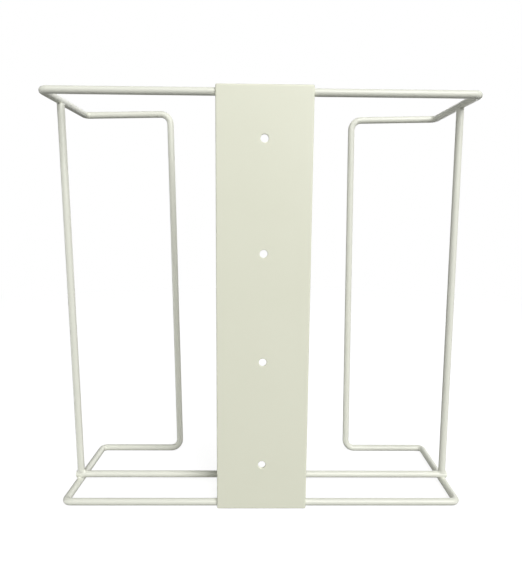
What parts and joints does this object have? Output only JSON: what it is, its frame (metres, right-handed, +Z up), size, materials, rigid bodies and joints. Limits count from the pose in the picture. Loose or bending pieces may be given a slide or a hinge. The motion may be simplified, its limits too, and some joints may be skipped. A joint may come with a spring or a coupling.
{
  "type": "disposable glove dispenser",
  "caption": "Wall rack of bent and welded coated wire on a flat screw-on backplate; holds stacked boxes of gloves with a tall open slot at the front.",
  "frame": {"origin": "middle of the backplate's flat wall face", "axes": "+Z up, +Y into the wall, -Y towards the user, +X to the right of a user facing the wall"},
  "size_m": [0.2772, 0.0916, 0.2748],
  "materials": {
    "coated_steel": "smooth satin powder coat, warm off-white with a grey-green cast"
  },
  "bodies": {
    "root": {"backplate": "coated_steel", "frame_wire": "coated_steel", "cross_wire": "coated_steel", "upright_left": "coated_steel", "upright_right": "coated_steel"}
  },
  "joints": []
}
